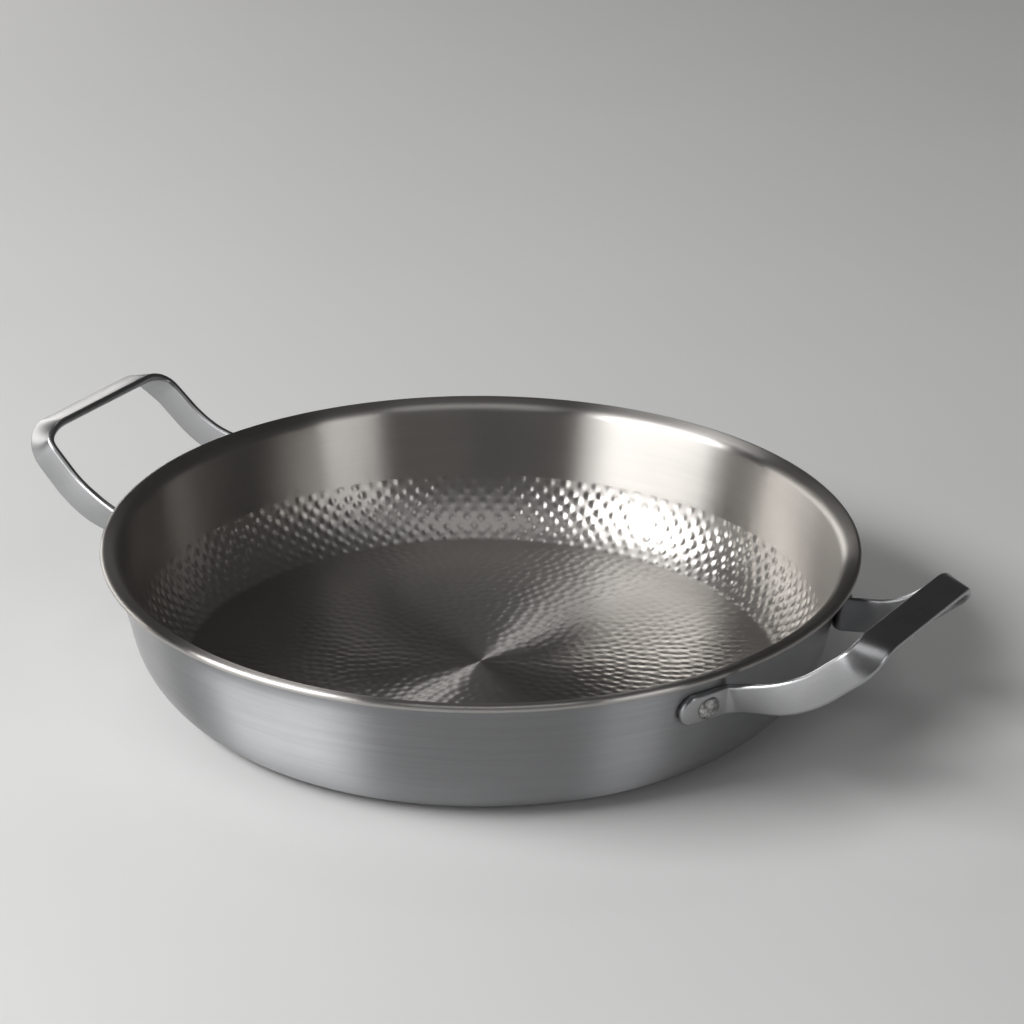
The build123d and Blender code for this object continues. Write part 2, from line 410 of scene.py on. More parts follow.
def floor_dimples(pan, hammering):
    """Places and blows of the dimples on the floor: rings of six more dimples each."""
    spread = random.Random(5)
    dimples = []
    rings = int((pan.floor_radius - hammering.ring_spacing / 3) / hammering.ring_spacing)
    for ring in range(1, rings + 1):
        radius = ring * hammering.ring_spacing
        full = within((radius - MIDDLE_RADIUS) / MIDDLE_RUN)
        start = spread.uniform(0, 2 * math.pi)
        for step in range(6 * ring):
            turn = start + step * math.pi / (3 * ring)
            shift = Vector((spread.uniform(-1, 1), spread.uniform(-1, 1), 0)) * hammering.unevenness
            place = around(Vector((radius, pan.sheet)), turn) + shift
            blow = spread.uniform(*FLOOR_BLOWS) * (MIDDLE_BLOW + (1 - MIDDLE_BLOW) * full)
            dimples.append((place, blow))
    return dimples


def wall_dimples(pan, hammering):
    """Places and blows of the dimples on the wall: staggered rows, the topmost struck unevenly."""
    spread = random.Random(11)
    section = section_points(pan, 0, DIMPLED_SIDE)
    reach = [0]
    for here, there in zip(section, section[1:]):
        reach.append(reach[-1] + (there - here).length)

    def uneven():
        """How far a dimple lies off its place in one way."""
        return spread.uniform(-1, 1) * hammering.unevenness

    dimples = []
    for row in range(hammering.rows):
        for step in range(hammering.per_row):
            # Every dimple draws its way up the wall, and its row keeps the first one's
            along = hammering.row_spacing * (row + FIRST_ROW) + uneven()
            if step == 0:
                point = min(zip(section, reach), key=lambda pair: abs(pair[1] - along))[0]
            turn = (step + row / 2) * 2 * math.pi / hammering.per_row + uneven() / point.x
            place = around(point, turn) + Vector((0, 0, uneven()))
            blow = spread.uniform(*WALL_BLOWS)
            if row == hammering.rows - 1:
                blow *= spread.uniform(*TOP_ROW_BLOWS)
            dimples.append((place, blow))
    return dimples


def round_off(x, y):
    """Moves a point of a square of half width 1 onto a round disc of radius 1."""
    if x == 0 and y == 0:
        return 0, 0
    if abs(x) > abs(y):
        radius, turn = x, math.pi / 4 * y / x
    else:
        radius, turn = y, math.pi / 2 - math.pi / 4 * x / y
    return radius * math.cos(turn), radius * math.sin(turn)


class PAN_OT_cooking_floor(bpy.types.Operator):
    """Adds the flat floor of the cooking layer, with rings of shallow dimples"""

    bl_idname = "pan.cooking_floor"
    bl_label = "Cooking floor"

    def execute(self, context):
        pan, hammering = context.scene.pan_bowl, context.scene.pan_hammering
        deselect()
        bpy.ops.mesh.primitive_grid_add(x_subdivisions=FLOOR_CELLS, y_subdivisions=FLOOR_CELLS, size=2)
        piece = name_piece("cooking_floor")
        for vertex in piece.data.vertices:
            x, y = round_off(vertex.co.x, vertex.co.y)
            vertex.co = (x * pan.floor_radius, y * pan.floor_radius, pan.sheet)
        piece.data.update()

        def struck(place, normal):
            """Nothing is struck at the floor's very edge."""
            return within((pan.floor_radius - place.xy.length) / EDGE_RUN)

        hammer(piece, floor_dimples(pan, hammering), hammering.width, hammering.floor_depth, struck)
        bpy.ops.object.mode_set(mode="EDIT")
        bpy.ops.mesh.select_all(action="SELECT")
        bpy.ops.mesh.region_to_loop()
        bpy.ops.mesh.extrude_edges_move(TRANSFORM_OT_translate={"value": (0, 0, -pan.titanium)})
        bpy.ops.mesh.edge_face_add()
        turn_faces_out()
        smooth_piece(piece)
        settle(piece, "titanium", floor_finish(context.scene.pan_finishes), "titanium_cooking_layer")
        return {"FINISHED"}


class PAN_OT_cooking_wall(bpy.types.Operator):
    """Adds the hammered wall of the cooking layer, and the plain wall above it with its lip and rim"""

    bl_idname = "pan.cooking_wall"
    bl_label = "Cooking wall"

    def execute(self, context):
        pan, hammering = context.scene.pan_bowl, context.scene.pan_hammering
        inside = section_points(pan, 0, COOKING_SIDE)
        under = section_points(pan, pan.titanium, UNDER_SIDE)
        inside_bowl = sum(COOKING_SIDE[:2])
        under_bowl = sum(UNDER_SIDE[:2])

        outline = inside[inside_bowl:] + under[under_bowl:][::-1]
        rim = spin_section("cooking_rim", outline, RIM_STEPS)
        smooth_piece(rim)
        settle(rim, "titanium", rim_finish(context.scene.pan_finishes), "titanium_cooking_layer")

        outline = inside[:inside_bowl + 1] + under[:under_bowl + 1][::-1]
        wall = spin_section("cooking_wall", outline, WALL_STEPS)
        top = pan.sheet + hammering.row_spacing * hammering.rows

        def struck(place, normal):
            """The cooking side is struck, from the floor's edge to the top row."""
            inward = normal.z - normal.xy.dot(place.xy.normalized())
            if inward < FACING_IN or place.z > top:
                return 0
            return within((place.xy.length - pan.floor_radius) / EDGE_RUN)

        hammer(wall, wall_dimples(pan, hammering), hammering.width, hammering.wall_depth, struck)
        smooth_piece(wall)
        settle(wall, "titanium", wall_finish(context.scene.pan_finishes), "titanium_cooking_layer")
        return {"FINISHED"}


class PAN_OT_outer_shell(bpy.types.Operator):
    """Adds the brushed steel shell, from the middle of its flat bottom to the lip"""

    bl_idname = "pan.outer_shell"
    bl_label = "Outer shell"

    def execute(self, context):
        pan = context.scene.pan_bowl
        outside = section_points(pan, pan.sheet, SHELL_OUTSIDE)[:-1]
        inside = section_points(pan, pan.sheet - pan.steel, SHELL_INSIDE)[:-1]
        outline = [Vector((0, 0)), *outside, *reversed(inside), Vector((0, pan.steel))]
        piece = spin_section("outer_shell", outline, SHELL_STEPS)
        smooth_piece(piece)
        settle(piece, "outer_steel", shell_finish(context.scene.pan_finishes), "steel_outer_shell")
        return {"FINISHED"}


# Handles


def wall_ways(pan):
    """The section's unit ways up the wall and straight out of it."""
    lean = pan.wall_lean
    return Vector((math.sin(lean), math.cos(lean))), Vector((math.cos(lean), -math.sin(lean)))


def wall_point(pan, handle, outside):
    """Section point at a distance outside the outer wall, across from the wall at the tabs' height."""
    up_wall, out = wall_ways(pan)
    foot = section_points(pan, pan.sheet, BARE_SECTION)[2]
    return foot + up_wall * ((handle.tab_height - foot.y) / up_wall.y) + out * outside


def rivet_azimuth(pan, handle):
    """How far round the pan a rivet lies from the middle of its handle."""
    return math.asin(handle.tab_spacing / 2 / wall_point(pan, handle, handle.thickness / 2).x)


def along_wall(azimuth):
    """Unit way round the outer wall, from a tab's end to its heel."""
    return Vector((math.sin(azimuth), -math.cos(azimuth), 0))


def strap_section(place, way, side, width):
    """A section of a strap: its middle, its unit ways across the thickness and across the width, and
    its width."""
    return place, side.cross(way).normalized(), side.normalized(), width


def tab_sections(pan, handle):
    """Sections of a tab: from its end, which narrows to a round, along the wall to its heel."""
    middle = wall_point(pan, handle, handle.thickness / 2)
    up_wall = wall_ways(pan)[0]
    end = rivet_azimuth(pan, handle) + handle.tab_reach / middle.x
    full = math.asin(handle.width / 2 / handle.tab_end)
    straight = handle.tab_end * (1 - math.cos(full))
    rest = handle.tab_reach + handle.tab_heel - straight
    stations = []
    for step in range(TAB_END_STEPS):
        turn = full * (step + 0.5) / TAB_END_STEPS
        stations.append((handle.tab_end * (1 - math.cos(turn)), 2 * handle.tab_end * math.sin(turn)))
    for step in range(TAB_STEPS + 1):
        stations.append((straight + rest * step / TAB_STEPS, handle.width))
    sections = []
    for run, width in stations:
        azimuth = end - run / middle.x
        place, side = around(middle, azimuth), around(up_wall, azimuth)
        sections.append(strap_section(place, along_wall(azimuth), side, width))
    return sections


def leg_ways(handle):
    """Unit ways along the leg where it leaves its heel, and across its width once that is upright."""
    slope = Vector((math.cos(handle.lead_slope), 0, math.sin(handle.lead_slope)))
    leg_way = slope * math.cos(handle.taper) - Vector((0, math.sin(handle.taper), 0))
    return leg_way, Vector((-slope.z, 0, slope.x))


def heel_sections(pan, handle):
    """Sections of the heel, in which the strap turns away from the wall into its leg."""
    middle = wall_point(pan, handle, handle.thickness / 2)
    heel = rivet_azimuth(pan, handle) - handle.tab_heel / middle.x
    start, start_way = around(middle, heel), along_wall(heel)
    start_side = around(wall_ways(pan)[0], heel)
    leg_way = leg_ways(handle)[0]
    turn = start_way.angle(leg_way)
    inward = (leg_way - start_way * start_way.dot(leg_way)).normalized()
    bend = handle.heel_bend + handle.thickness / 2
    sections = []
    for step in range(1, HEEL_STEPS + 1):
        now = turn * step / HEEL_STEPS
        place = start + (start_way * math.sin(now) + inward * (1 - math.cos(now))) * bend
        turned = Matrix.Rotation(now, 3, start_way.cross(inward))
        sections.append(strap_section(place, turned @ start_way, turned @ start_side, handle.width))
    return sections


def step_length(size, turn):
    """Length of a run, or of a bend of a radius."""
    return size * turn if turn else size


def side_steps(handle):
    """Runs and bends of the loop's side view. Each is a length or a radius, and its turn."""
    return (
        (handle.lead, 0),
        (handle.rise_bend, handle.rise_slope - handle.lead_slope),
        (handle.rise, 0),
        (handle.grip_bend, handle.grip_slope - handle.rise_slope),
    )


def side_view(handle, place, run):
    """Place and slope of the loop's side view after a run along it from a place."""
    slope = handle.lead_slope
    for size, turn in side_steps(handle):
        whole = step_length(size, turn)
        part = min(run, whole)
        run -= part
        if part > 0:
            step = (size, turn * part / whole, 1) if turn else (part, 0, 1)
            place = follow(place, slope, (step,))[-1]
        slope += turn * part / whole
    return place, slope


def loop_sections(handle, root, bent_side):
    """Sections of the loop, from the root of its leg to the middle of its grip. It is laid out flat,
    then bent up along its side view. At the root its width leans as the wall does, and the leg turns
    it upright."""
    leg_way, leg_side = leg_ways(handle)
    twist = math.atan2(bent_side.dot(leg_side.cross(leg_way)), bent_side.dot(leg_side))
    corner_bend = handle.corner_bend + handle.thickness / 2
    corner_turn = handle.taper - math.pi / 2
    side_length = sum(step_length(*step) for step in side_steps(handle))
    leg_run = side_length - corner_bend * (1 - math.sin(handle.taper))
    flat_steps = (
        (leg_run / math.cos(handle.taper), 0, LEG_STEPS),
        (corner_bend, corner_turn, CORNER_STEPS),
    )
    layout = follow(Vector((0, root.y)), -handle.taper, flat_steps)
    layout += [Vector((layout[-1].x, layout[-1].y * share)) for share in GRIP_SHARES]
    headings = [-handle.taper] * (LEG_STEPS + 1)
    headings += [corner_turn * step / CORNER_STEPS - handle.taper for step in range(1, CORNER_STEPS + 1)]
    headings += [-math.pi / 2] * len(GRIP_SHARES)
    sections = []
    for flat, heading in list(zip(layout, headings))[1:]:
        place, slope = side_view(handle, Vector((root.x, root.z)), flat.x)
        climb = Vector((math.cos(slope), 0, math.sin(slope)))
        way = climb * math.cos(heading) + Vector((0, math.sin(heading), 0))
        upright = Vector((-climb.z, 0, climb.x))
        left = 1 - within(flat.x / (2 * handle.lead))
        lean = twist * left * left * (3 - 2 * left)
        side = upright * math.cos(lean) + upright.cross(way) * math.sin(lean)
        sections.append(strap_section(Vector((place.x, flat.y, place.y)), way, side, handle.width))
    return sections


def strap_sections(pan, handle):
    """Sections of half a strap, from the end of its tab to the middle of its grip."""
    sections = tab_sections(pan, handle) + heel_sections(pan, handle)
    root, _, bent_side, _ = sections[-1]
    return sections + loop_sections(handle, root, bent_side)


def section_corners(section, thickness):
    """The four corners of a strap section, in order round it."""
    middle, across, side, width = section
    return [
        middle + across * thickness / 2 * a + side * width / 2 * b
        for a, b in ((1, -1), (1, 1), (-1, 1), (-1, -1))
    ]


def joins(edge, places):
    """Whether an edge runs between two places."""
    return all(min((end.co - place).length for end in edge.verts) < SAME_PLACE for place in places)


def draw_strap(name, sections, thickness):
    """Starts from a plane on the first section and extrudes it from section to section. The tab's
    round end is made into one face on each side, and the middle of the grip is left open."""
    deselect()
    bpy.ops.mesh.primitive_plane_add(size=thickness, enter_editmode=True)
    piece = name_piece(name)
    mesh = bmesh.from_edit_mesh(piece.data)
    corners = section_corners(sections[0], thickness)
    for vertex, corner in zip(mesh.faces[:][0].verts, corners):
        vertex.co = corner
    bmesh.update_edit_mesh(piece.data)
    for section in sections[1:]:
        bpy.ops.mesh.extrude_region_move()
        mesh = bmesh.from_edit_mesh(piece.data)
        before, corners = corners, section_corners(section, thickness)
        for vertex in [vertex for vertex in mesh.verts if vertex.select]:
            nearest = min(range(4), key=lambda corner: (vertex.co - before[corner]).length)
            vertex.co = corners[nearest]
        bmesh.update_edit_mesh(piece.data)
    bpy.ops.mesh.delete(type="ONLY_FACE")
    bpy.ops.mesh.select_mode(type="EDGE")
    bpy.ops.mesh.select_all(action="DESELECT")
    mesh = bmesh.from_edit_mesh(piece.data)
    for section in sections[1:TAB_END_STEPS + 1]:
        corners = section_corners(section, thickness)
        for edge in mesh.edges:
            if joins(edge, corners[:2]) or joins(edge, corners[2:]):
                edge.select = True
    bmesh.update_edit_mesh(piece.data)
    bpy.ops.mesh.dissolve_edges(use_verts=False)
    bpy.ops.mesh.select_mode(type="VERT")
    turn_faces_out()
    return piece


def lay_strap_map(piece, sections, thickness):
    """Unrolls a strap for its brushing: along it across the map, and round its section up it."""
    tree = KDTree(4 * len(sections))
    places = []
    run = 0
    before = sections[0][0]
    for section in sections:
        middle, _, _, width = section
        run += (middle - before).length
        before = middle
        girth = 2 * (width + thickness)
        heights = (0, width, width + thickness, girth - thickness)
        for corner, place in enumerate(section_corners(section, thickness)):
            tree.insert(place, len(places))
            places.append((run, corner, heights[corner], girth))
    tree.balance()
    mesh = piece.data
    strap_map = mesh.uv_layers[0]
    strap_map.name = STRAP_MAP
    for face in mesh.polygons:
        corners = [mesh.vertices[mesh.loops[loop].vertex_index].co for loop in face.loop_indices]
        found = [places[tree.find(corner)[1]] for corner in corners]
        closing = {place[1] for place in found} == {0, 3}
        for loop, (run, corner, height, girth) in zip(face.loop_indices, found):
            strap_map.data[loop].uv = (run, girth if closing and corner == 0 else height)


class PAN_OT_handles(bpy.types.Operator):
    """Adds the two bent strap handles with their tabs"""

    bl_idname = "pan.handles"
    bl_label = "Handles"

    def execute(self, context):
        pan, handle = context.scene.pan_bowl, context.scene.pan_handle
        sections = strap_sections(pan, handle)
        right = draw_strap("right_handle_strap", sections, handle.thickness)
        lay_strap_map(right, sections, handle.thickness)
        apply_modifier(right, "MIRROR", use_axis=(False, True, False), merge_threshold=SAME_PLACE)
        apply_modifier(
            right,
            "BEVEL",
            width=handle.edge_round,
            segments=3,
            limit_method="ANGLE",
            angle_limit=math.radians(40),
            use_clamp_overlap=False,
        )
        smooth_piece(right)
        bpy.ops.object.duplicate()
        left = name_piece("left_handle_strap")
        bpy.ops.object.mode_set(mode="EDIT")
        bpy.ops.mesh.select_all(action="SELECT")
        bpy.ops.transform.resize(value=(-1, 1, 1), center_override=(0, 0, 0))
        turn_faces_out()
        finish = strap_finish(context.scene.pan_finishes)
        settle(right, "handle_steel", finish, "right_handle")
        settle(left, "handle_steel", finish, "left_handle")
        return {"FINISHED"}


# Rivets


def peened(place, seed, handle):
    """Moves a point of a half sphere onto a head that hammer blows have spread unevenly."""
    flat = Vector((place.x, place.y, 0))
    spread = 1 + EDGE_SPREAD * noise.noise(flat.normalized() * EDGE_BLOWS + seed)
    moved = flat * handle.rivet_radius * EDGE_REACH * spread
    if place.z > SAME_PLACE:
        radius = flat.length
        lumps = noise.noise((flat + LUMPS) * DOME_BLOWS + seed)
        pits = noise.noise((flat + PITS) * PIT_BLOWS + seed)
        dome = (1 - radius**DOME_FULLNESS) ** DOME_SHOULDER
        height = dome * (DOME_REACH + DOME_LUMPS * lumps + DOME_PITS * pits)
        height -= DENT_DEPTH * max(0, DENT_RADIUS - radius)
        moved.z = handle.rivet_height * max(LEAST_HEIGHT, min(1, height))
    return moved


class PAN_OT_rivets(bpy.types.Operator):
    """Adds the four rivet heads, each peened a little differently"""

    bl_idname = "pan.rivets"
    bl_label = "Rivets"

    def execute(self, context):
        pan, handle = context.scene.pan_bowl, context.scene.pan_handle
        finish = rivet_finish(context.scene.pan_finishes)
        face = wall_point(pan, handle, handle.thickness)
        out = wall_ways(pan)[1]
        turn = rivet_azimuth(pan, handle)
        azimuths = {
            "right_rear_rivet": turn,
            "right_front_rivet": -turn,
            "left_rear_rivet": math.pi - turn,
            "left_front_rivet": math.pi + turn,
        }
        for number, (node, azimuth) in enumerate(azimuths.items()):
            deselect()
            bpy.ops.mesh.primitive_uv_sphere_add(segments=64, ring_count=40, radius=1, enter_editmode=True)
            piece = name_piece(node + "_head")
            bpy.ops.mesh.bisect(plane_co=(0, 0, 0), plane_no=(0, 0, 1), clear_inner=True, use_fill=True)
            bpy.ops.object.mode_set(mode="OBJECT")
            seed = FIRST_HEAD + NEXT_HEAD * number
            for vertex in piece.data.vertices:
                vertex.co = peened(vertex.co, seed, handle)
            bpy.ops.object.mode_set(mode="EDIT")
            turn_faces_out()
            smooth_piece(piece, sharpest=math.radians(50))
            upright = around(out, azimuth).to_track_quat("Z", "Y").to_matrix().to_4x4()
            piece.matrix_world = Matrix.Translation(around(face, azimuth)) @ upright
            settle(piece, "rivet_steel", finish, node)
        return {"FINISHED"}


# Finishes

# Spans of a noise's values over which a finish changes
NARROW_SPAN = (0.35, 0.65)
RIVET_SPAN = (0.35, 0.62)
WIDE_SPAN = (0.3, 0.7)

# How much brushing changes a roughness, and how deep its lines are
BRUSHED_SWING = 0.02
BRUSHED_DEPTH = 0.00004

# How closely a noise lies along a strap and round it, and on the core's three axes
STRAP_LINES = (90.0, 4200.0, 1.0)
ROLLED_LINES = (40.0, 2500.0, 40.0)

# With this turn of the tangent the shine spreads across the brushing
ACROSS = 0.25


class Finish:
    """A material that is built up node by node."""

    def __init__(self, name):
        self.material = bpy.data.materials.new(name)
        self.material.use_nodes = True
        self.tree = self.material.node_tree
        self.surface = self.tree.nodes["Principled BSDF"]

    def node(self, kind, *inputs, **settings):
        """Adds a node, sets it, and gives its inputs in order values or links."""
        made = self.tree.nodes.new(kind)
        for setting, value in settings.items():
            setattr(made, setting, value)
        for number, value in enumerate(inputs):
            self.give(made.inputs[number], value)
        return made

    def give(self, socket, value):
        """Sets an input to a value, or links it to another node's output."""
        if isinstance(value, bpy.types.NodeSocket):
            self.tree.links.new(value, socket)
        else:
            socket.default_value = value

    def maths(self, operation, *inputs):
        """One sum on numbers."""
        return self.node("ShaderNodeMath", *inputs, operation=operation).outputs[0]

    def vectors(self, operation, *inputs):
        """One sum on vectors."""
        return self.node("ShaderNodeVectorMath", *inputs, operation=operation).outputs[0]

    def place(self):
        """Where a point lies on its piece."""
        return self.node("ShaderNodeTexCoord").outputs["Object"]

    def grain(self, where, scale, detail, roughness):
        """A noise of values round a half."""
        made = self.node("ShaderNodeTexNoise", noise_dimensions="3D")
        self.give(made.inputs["Vector"], where)
        made.inputs["Scale"].default_value = scale
        made.inputs["Detail"].default_value = detail
        made.inputs["Roughness"].default_value = roughness
        return made.outputs[0]

    def mix(self, first, second, share):
        """Adds two noises, of which the first has a share and the second the rest."""
        parts = self.maths("MULTIPLY", first, share), self.maths("MULTIPLY", second, 1 - share)
        return self.maths("ADD", *parts)

    def spread(self, value, at_low, at_high, span):
        """Stretches a value's span onto what it stands for at its low and its high end."""
        return self.node("ShaderNodeMapRange", value, *span, at_low, at_high).outputs[0]

    def colour_by(self, value, tone, darkest, lightest, span):
        """Varies the surface's colour with a noise, as shares of its tone."""
        made = self.node("ShaderNodeMix", data_type="RGBA")
        self.give(made.inputs[0], self.spread(value, 0.0, 1.0, span))
        self.give(made.inputs[6], shade(tone, darkest))
        self.give(made.inputs[7], shade(tone, lightest))
        self.give(self.surface.inputs["Base Color"], made.outputs[2])

    def roughen_by(self, value, at_low, at_high, span):
        """Varies the surface's roughness with a noise."""
        self.give(self.surface.inputs["Roughness"], self.spread(value, at_low, at_high, span))

    def make_metal(self):
        """Makes the surface bare metal."""
        self.surface.inputs["Metallic"].default_value = 1.0

    def brush(self, anisotropy, brushing):
        """Makes the surface bare metal that is brushed one way."""
        self.make_metal()
        self.surface.inputs["Anisotropic"].default_value = anisotropy
        self.surface.inputs["Anisotropic Rotation"].default_value = ACROSS
        self.give(self.surface.inputs["Tangent"], brushing)

    def engrave(self, height, strength, depth):
        """Gives the surface a relief too fine for its mesh."""
        bump = self.node("ShaderNodeBump")
        bump.inputs["Strength"].default_value = strength
        bump.inputs["Distance"].default_value = depth
        self.give(bump.inputs["Height"], height)
        self.give(self.surface.inputs["Normal"], bump.outputs[0])


def shade(tone, amount):
    """A colour made lighter or darker."""
    return (*[min(1, part * amount) for part in tone], 1)


def lathe_ways(finish, place):
    """Where a point lies on a piece that was brushed on a turning table: its way out from the axis,
    and how far along the section it is. Also the way in which the brushing runs."""
    apart = finish.node("ShaderNodeSeparateXYZ", place)
    flat = finish.node("ShaderNodeCombineXYZ", apart.outputs[0], apart.outputs[1], 0.0).outputs[0]
    radius = finish.node("ShaderNodeVectorMath", flat, operation="LENGTH").outputs["Value"]
    outward = finish.vectors("NORMALIZE", flat)
    along = finish.maths("ADD", radius, apart.outputs[2])
    return outward, along, finish.vectors("CROSS_PRODUCT", (0, 0, 1), outward)


def brushed_lines(finish, outward, along, wander, closeness, detail, roughness):
    """A noise that is drawn out into lines round the axis."""
    way = finish.node("ShaderNodeVectorMath", outward, operation="SCALE")
    way.inputs["Scale"].default_value = wander
    apart = finish.node("ShaderNodeSeparateXYZ", way.outputs[0])
    close = finish.maths("MULTIPLY", along, closeness)
    where = finish.node("ShaderNodeCombineXYZ", apart.outputs[0], apart.outputs[1], close).outputs[0]
    return finish.grain(where, scale=1.0, detail=detail, roughness=roughness)


def brushed_metal(name, tone, roughness, anisotropy, relief, streak):
    """Metal that was brushed on a turning table: fine lines round the axis, and broad faint ones."""
    finish = Finish(name)
    place = finish.place()
    outward, along, brushing = lathe_ways(finish, place)
    fine = brushed_lines(finish, outward, along, wander=5.0, closeness=3200.0, detail=3.0, roughness=0.6)
    broad = brushed_lines(finish, outward, along, wander=2.2, closeness=420.0, detail=2.0, roughness=0.5)
    cloud = finish.grain(place, scale=38.0, detail=3.0, roughness=0.55)
    uneven = finish.mix(finish.mix(fine, broad, share=0.55), cloud, share=0.75)
    finish.colour_by(uneven, tone, darkest=1 - streak, lightest=1 + streak, span=NARROW_SPAN)
    finish.roughen_by(uneven, roughness - BRUSHED_SWING, roughness + BRUSHED_SWING, NARROW_SPAN)
    finish.brush(anisotropy, brushing)
    if relief:
        finish.engrave(fine, strength=relief, depth=BRUSHED_DEPTH)
    return finish.material


def floor_finish(finishes):
    """Warm grey titanium of the cooking floor, brushed round."""
    return brushed_metal(
        "brushed_titanium_floor", finishes.titanium, roughness=0.33, anisotropy=0.93, relief=0, streak=0.03
    )


def wall_finish(finishes):
    """Warm grey titanium of the hammered wall, whose dimples scatter its shine."""
    return brushed_metal(
        "hammered_titanium", finishes.titanium, roughness=0.35, anisotropy=0.87, relief=0, streak=0.03
    )


def rim_finish(finishes):
    """Warm grey titanium of the plain wall and the rim, brushed round."""
    return brushed_metal(
        "brushed_titanium_rim", finishes.titanium, roughness=0.31, anisotropy=1, relief=0.07, streak=0.04
    )


def shell_finish(finishes):
    """Cool grey steel of the outer shell, brushed round to a satin."""
    return brushed_metal(
        "brushed_shell_steel", finishes.shell, roughness=0.45, anisotropy=1, relief=0.2, streak=0.09
    )


def strap_finish(finishes):
    """Satin steel of the handles, brushed along the strap."""
    finish = Finish("satin_strap_steel")
    strap = finish.node("ShaderNodeUVMap", uv_map=STRAP_MAP).outputs[0]
    drawn_out = finish.vectors("MULTIPLY", strap, STRAP_LINES)
    lines = finish.grain(drawn_out, scale=1.0, detail=3.0, roughness=0.6)
    cloud = finish.grain(finish.place(), scale=60.0, detail=3.0, roughness=0.5)
    uneven = finish.mix(lines, cloud, share=0.6)
    finish.colour_by(uneven, finishes.strap, darkest=0.93, lightest=1.07, span=NARROW_SPAN)
    finish.roughen_by(uneven, at_low=0.27, at_high=0.36, span=NARROW_SPAN)
    brushing = finish.node("ShaderNodeTangent", direction_type="UV_MAP", uv_map=STRAP_MAP).outputs[0]
    finish.brush(0.35, brushing)
    finish.engrave(lines, strength=0.3, depth=BRUSHED_DEPTH)
    return finish.material


def rivet_finish(finishes):
    """Peened steel of the rivets, rougher in its pits. Its colour follows the dents: darker in the pits as
    painted shade and lighter on the crests as painted highlight, partly also rubbed wear.
    """
    finish = Finish("peened_rivet_steel_with_painted_shade")
    place = finish.place()
    dents_and_painted_shade = finish.grain(place, scale=900.0, detail=4.0, roughness=0.65)
    blotches = finish.grain(place, scale=330.0, detail=2.0, roughness=0.5)
    uneven = finish.mix(dents_and_painted_shade, blotches, share=0.5)
    # Wide colour span: painted shade where the dents' noise is low (pits) and painted highlight where it is
    # high (crests)
    finish.colour_by(uneven, finishes.rivet, darkest=0.4, lightest=1.4, span=RIVET_SPAN)
    finish.roughen_by(uneven, at_low=0.5, at_high=0.26, span=NARROW_SPAN)
    finish.make_metal()
    finish.engrave(dents_and_painted_shade, strength=1.0, depth=0.0003)
    return finish.material


def core_finish(finishes):
    """Rolled aluminium of the core, which is shut in."""
    finish = Finish("rolled_core_aluminium")
    rolled = finish.vectors("MULTIPLY", finish.place(), ROLLED_LINES)
    lines = finish.grain(rolled, scale=1.0, detail=3.0, roughness=0.6)
    finish.colour_by(lines, finishes.core, darkest=0.92, lightest=1.05, span=WIDE_SPAN)
    finish.roughen_by(lines, at_low=0.32, at_high=0.45, span=WIDE_SPAN)
    finish.make_metal()
    return finish.material


def stage_finish(finishes):
    """The plain pale floor, with the faintest mottling."""
    finish = Finish("stage_floor")
    mottle = finish.grain(finish.place(), scale=6.0, detail=3.0, roughness=0.5)
    finish.colour_by(mottle, finishes.stage, darkest=0.985, lightest=1.01, span=WIDE_SPAN)
    finish.surface.inputs["Roughness"].default_value = 0.75
    return finish.material


class PAN_OT_core_finish(bpy.types.Operator):
    """Gives the aluminium core its metal"""

    bl_idname = "pan.core_finish"
    bl_label = "Core finish"

    def execute(self, context):
        finish = core_finish(context.scene.pan_finishes)
        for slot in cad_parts["aluminium_core"].material_slots:
            slot.material = finish
        return {"FINISHED"}


# Stage


def from_view(azimuth, elevation, distance):
    """A place at a distance from the pan. Its azimuth runs from the picture's right towards its back,
    and both angles are in degrees."""
    turn, lift = math.radians(azimuth + VIEW_TURN), math.radians(elevation)
    return around(Vector((math.cos(lift), math.sin(lift))), turn) * distance


def add_floor(finishes):
    """Adds the plain pale floor."""
    deselect()
    bpy.ops.mesh.primitive_plane_add(size=STAGE_SIZE, location=(0, 0, 0))
    floor = name_piece("stage_floor")
    floor.data.materials.append(stage_finish(finishes))


def add_softbox(name, azimuth, elevation, distance, width, height, radiance, tint):
    """Adds a rectangular soft light that faces the pan."""
    light = bpy.data.lights.new(name, "AREA")
    light.shape = "RECTANGLE"
    light.size = width
    light.size_y = height
    light.energy = radiance * math.pi * width * height
    light.color = tint
    lamp = bpy.data.objects.new(name, light)
    bpy.context.scene.collection.objects.link(lamp)
    lamp.location = from_view(azimuth, elevation, distance)
    lamp.rotation_euler = (PAN_MIDDLE - lamp.location).to_track_quat("-Z", "Y").to_euler()


def light_room(scene):
    """Lights the room faintly from all sides."""
    world = bpy.data.worlds.new("studio")
    world.use_nodes = True
    background = world.node_tree.nodes["Background"]
    background.inputs["Color"].default_value = (*WHITE, 1)
    background.inputs["Strength"].default_value = ROOM_STRENGTH
    scene.world = world


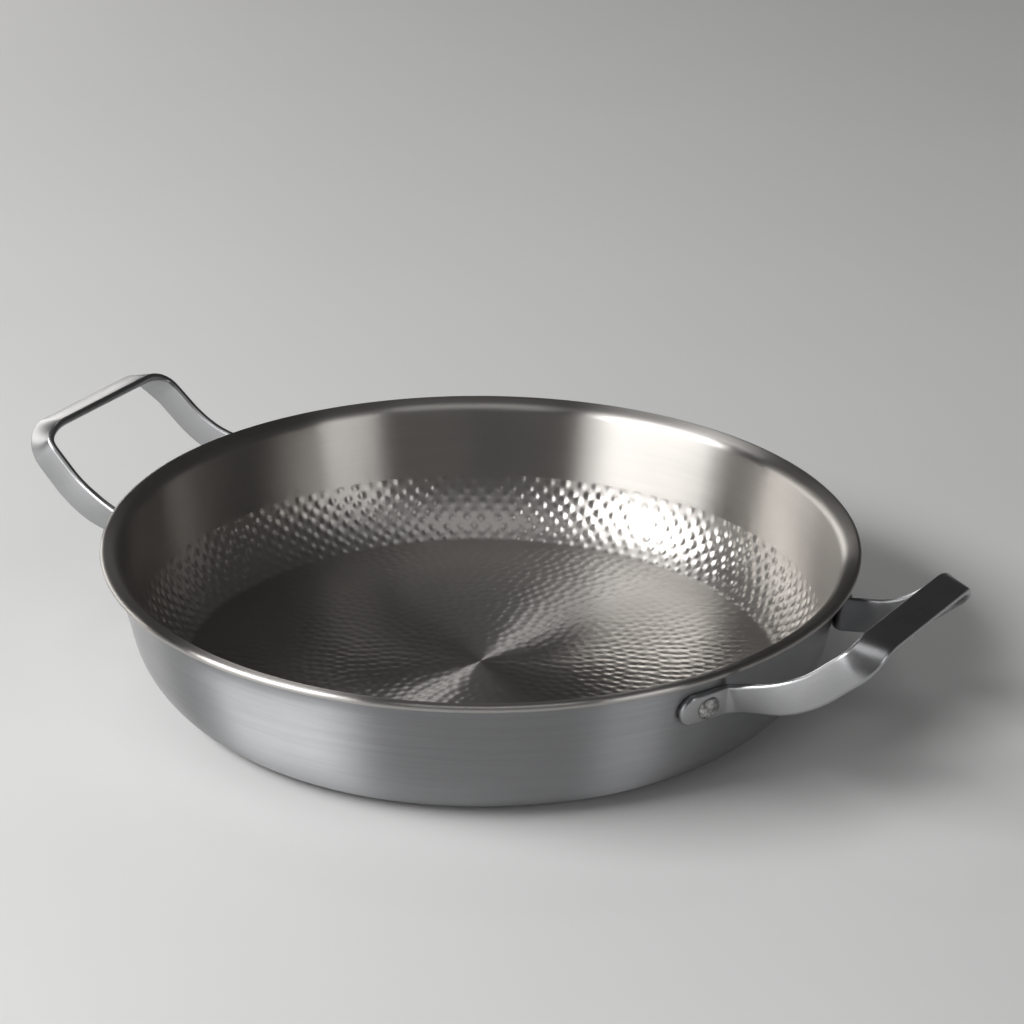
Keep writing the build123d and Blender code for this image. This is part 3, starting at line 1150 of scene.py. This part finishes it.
def add_camera(scene):
    """Adds the photograph's camera."""
    pitch, yaw, roll = (math.radians(turn) for turn in (CAMERA_PITCH, CAMERA_YAW, CAMERA_ROLL))
    ahead = Vector((math.sin(yaw) * math.cos(pitch), math.cos(yaw) * math.cos(pitch), -math.sin(pitch)))
    level = Vector((math.cos(yaw), -math.sin(yaw), 0))
    upright = level.cross(ahead)
    right = level * math.cos(roll) + upright * math.sin(roll)
    up = upright * math.cos(roll) - level * math.sin(roll)
    camera = bpy.data.objects.new("camera", bpy.data.cameras.new("camera"))
    scene.collection.objects.link(camera)
    turned = Matrix.Rotation(math.radians(VIEW_TURN), 3, "Z")
    camera.matrix_world = (turned @ Matrix((right, up, -ahead)).transposed()).to_4x4()
    camera.location = from_view(-90, CAMERA_ELEVATION, CAMERA_DISTANCE)
    camera.data.lens = CAMERA_LENS
    camera.data.sensor_width = SENSOR_WIDTH
    camera.data.clip_start = CLIP_NEAR
    camera.data.clip_end = CLIP_FAR
    scene.camera = camera


class PAN_OT_stage(bpy.types.Operator):
    """Adds the plain pale floor, the soft studio light and the photograph's camera"""

    bl_idname = "pan.stage"
    bl_label = "Stage"

    def execute(self, context):
        add_floor(context.scene.pan_finishes)
        light_room(context.scene)
        for name, settings in SOFTBOXES.items():
            add_softbox(name, *settings)
        add_camera(context.scene)
        context.scene.view_settings.view_transform = "Standard"
        return {"FINISHED"}


class PAN_PT_sidebar(bpy.types.Panel):
    """Lists the pan's pieces and their sizes and colours"""

    bl_idname = "PAN_PT_sidebar"
    bl_label = "Saute pan"
    bl_space_type = "VIEW_3D"
    bl_region_type = "UI"
    bl_category = "Saute pan"

    def draw(self, context):
        for operator in OPERATORS:
            self.layout.operator(operator.bl_idname)
        for name in GROUPS:
            box = self.layout.box()
            group = getattr(context.scene, name)
            for setting in group.__annotations__:
                box.prop(group, setting)


GROUPS = {
    "pan_bowl": BowlSizes,
    "pan_hammering": HammeringSizes,
    "pan_handle": HandleSizes,
    "pan_finishes": Finishes,
}
OPERATORS = (
    PAN_OT_cooking_floor,
    PAN_OT_cooking_wall,
    PAN_OT_outer_shell,
    PAN_OT_core_finish,
    PAN_OT_handles,
    PAN_OT_rivets,
    PAN_OT_stage,
)


def register():
    """Registers the classes, and gives the scene the pan's settings."""
    for group in (*GROUPS.values(), *OPERATORS, PAN_PT_sidebar):
        bpy.utils.register_class(group)
    for name, group in GROUPS.items():
        setattr(bpy.types.Scene, name, PointerProperty(type=group))


def unregister():
    """Takes the settings and the classes away again."""
    for name in GROUPS:
        delattr(bpy.types.Scene, name)
    for group in reversed((*GROUPS.values(), *OPERATORS, PAN_PT_sidebar)):
        bpy.utils.unregister_class(group)


def main():
    """Dresses the pan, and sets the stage."""
    register()
    bpy.ops.pan.cooking_floor()
    bpy.ops.pan.cooking_wall()
    bpy.ops.pan.outer_shell()
    bpy.ops.pan.core_finish()
    bpy.ops.pan.handles()
    bpy.ops.pan.rivets()
    bpy.ops.pan.stage()


if __name__ == "__main__":
    main()
